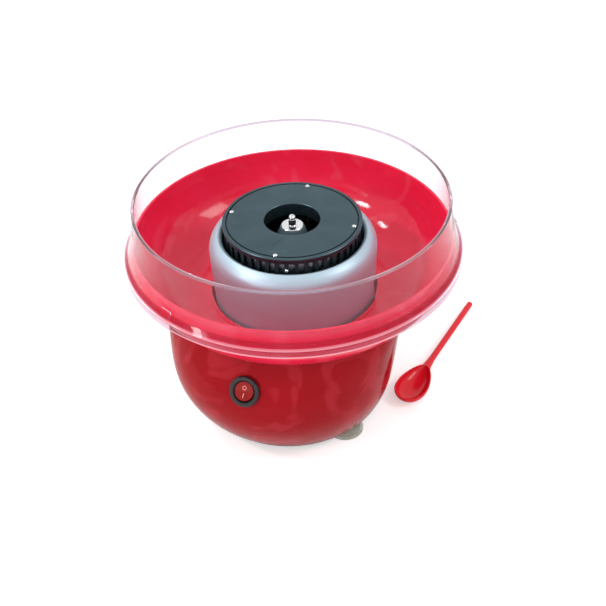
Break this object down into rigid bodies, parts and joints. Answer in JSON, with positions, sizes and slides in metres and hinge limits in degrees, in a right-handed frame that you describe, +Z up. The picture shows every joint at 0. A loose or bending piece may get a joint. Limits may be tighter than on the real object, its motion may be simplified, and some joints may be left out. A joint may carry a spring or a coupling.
{
  "type": "cotton candy machine",
  "caption": "Round tabletop cotton candy machine: red base with a rocker switch, deep red bowl, clear splash guard, silver collar and a slotted spinning head, with a sugar scoop beside it.",
  "frame": {"origin": "the point where the spindle axis meets the plane that the feet stand on", "axes": "+Z up along the spindle, -Y towards the switch, +X to the right of someone facing the switch"},
  "size_m": [0.3, 0.3022, 0.207],
  "materials": {
    "housing_red": "glossy moulded ABS",
    "plate_black": "fine matt moulding",
    "screw_steel": "zinc plated",
    "foot_clear": "soft clear grey-green PVC",
    "collar_silver": "spun and satin anodised",
    "reflector_bright": "bright sheet",
    "ceramic_white": "unglazed steatite",
    "heater_sheath": "heat tinted sheath",
    "thermostat_case": "brown phenolic",
    "fuse_case": "drawn case",
    "bracket_steel": "galvanised sheet",
    "isolator_rubber": "soft matt rubber",
    "motor_steel": "deep drawn, zinc yellow tint",
    "magnet_dark": "sintered ferrite",
    "end_cap_black": "glass filled nylon",
    "bearing_steel": "ground",
    "brush_carbon": "pressed carbon",
    "switch_black": "satin black nylon",
    "terminal_brass": "stamped, tin flashed",
    "gland_black": "soft PVC bush",
    "block_white": "nylon",
    "board_green": "solder masked laminate",
    "lead_insulation": "silicone insulation",
    "shaft_steel": "polished",
    "rotor_iron": "varnished lamination stack",
    "commutator_copper": "turned copper",
    "fan_grey": "moulded nylon",
    "ring_black": "blackened spring steel",
    "head_black": "dark anodised, satin with spin marks",
    "skirt_grey": "dark anodised",
    "pan_bright": "spun",
    "mesh_bright": "perforated stainless",
    "hub_black": "heat resistant nylon",
    "washer_bright": "polished",
    "rivet_bright": "polished rivet heads",
    "rocker_red": "translucent red",
    "bowl_red": "deep glossy red",
    "guard_clear": "clear thin polycarbonate, faint lavender",
    "scoop_red": "glossy red"
  },
  "bodies": {
    "base": {"base_housing": "housing_red", "base_plate": "plate_black", "plate_screws": "screw_steel", "foot_front_left": "foot_clear", "foot_front_right": "foot_clear", "foot_rear": "foot_clear", "collar": "collar_silver", "collar_screws": "screw_steel", "heat_reflector": "reflector_bright", "ceramic_posts": "ceramic_white", "heater_carrier": "ceramic_white", "heater_element": "heater_sheath", "thermostat": "thermostat_case", "thermal_fuse": "fuse_case", "motor_bracket": "bracket_steel", "rubber_isolators": "isolator_rubber", "isolator_screws": "screw_steel", "motor_can": "motor_steel", "motor_magnets": "magnet_dark", "motor_end_cap": "end_cap_black", "motor_bearing_upper": "bearing_steel", "motor_bearing_lower": "bearing_steel", "motor_brushes": "brush_carbon", "motor_screws": "screw_steel", "switch_bezel": "switch_black", "switch_terminals": "terminal_brass", "cord_gland": "gland_black", "terminal_block": "block_white", "rectifier_board": "board_green", "lead_switch": "lead_insulation", "lead_heater": "lead_insulation"},
    "rotor": {"motor_shaft": "shaft_steel", "rotor_core": "rotor_iron", "commutator": "commutator_copper", "cooling_fan": "fan_grey", "drive_pin": "shaft_steel", "snap_ring": "ring_black"},
    "head": {"head_lid": "head_black", "head_skirt": "skirt_grey", "sugar_pan": "pan_bright", "mesh_band": "mesh_bright", "hub_cone": "hub_black", "hub_washer": "washer_bright", "head_rivets": "rivet_bright", "skirt_rivets": "rivet_bright"},
    "rocker": {"rocker": "rocker_red"},
    "floss_bowl": {"floss_bowl": "bowl_red"},
    "splash_guard": {"splash_guard": "guard_clear"},
    "sugar_scoop": {"sugar_scoop": "scoop_red"}
  },
  "joints": [
    {"name": "head_spin", "type": "hinge", "parent": "base", "child": "rotor", "pos_m": [0, 0, 0.1], "axis": [0, 0, 1], "continuous": true},
    {"name": "head_lift", "type": "slide", "parent": "rotor", "child": "head", "axis": [0, 0, 1], "range_m": [0, 0.045]},
    {"name": "rocker_press", "type": "hinge", "parent": "base", "child": "rocker", "pos_m": [0, -0.12706, 0.08976], "axis": [1, 0, 0], "range_deg": [0, 20]},
    {"name": "bowl_lift", "type": "slide", "parent": "base", "child": "floss_bowl", "axis": [0, 0, 1], "range_m": [0, 0.1]},
    {"name": "guard_lift", "type": "slide", "parent": "floss_bowl", "child": "splash_guard", "axis": [0, 0, 1], "range_m": [0, 0.07]},
    {"name": "scoop_away", "type": "slide", "parent": "base", "child": "sugar_scoop", "axis": [1, 0, 0], "range_m": [0, 0.15]}
  ]
}
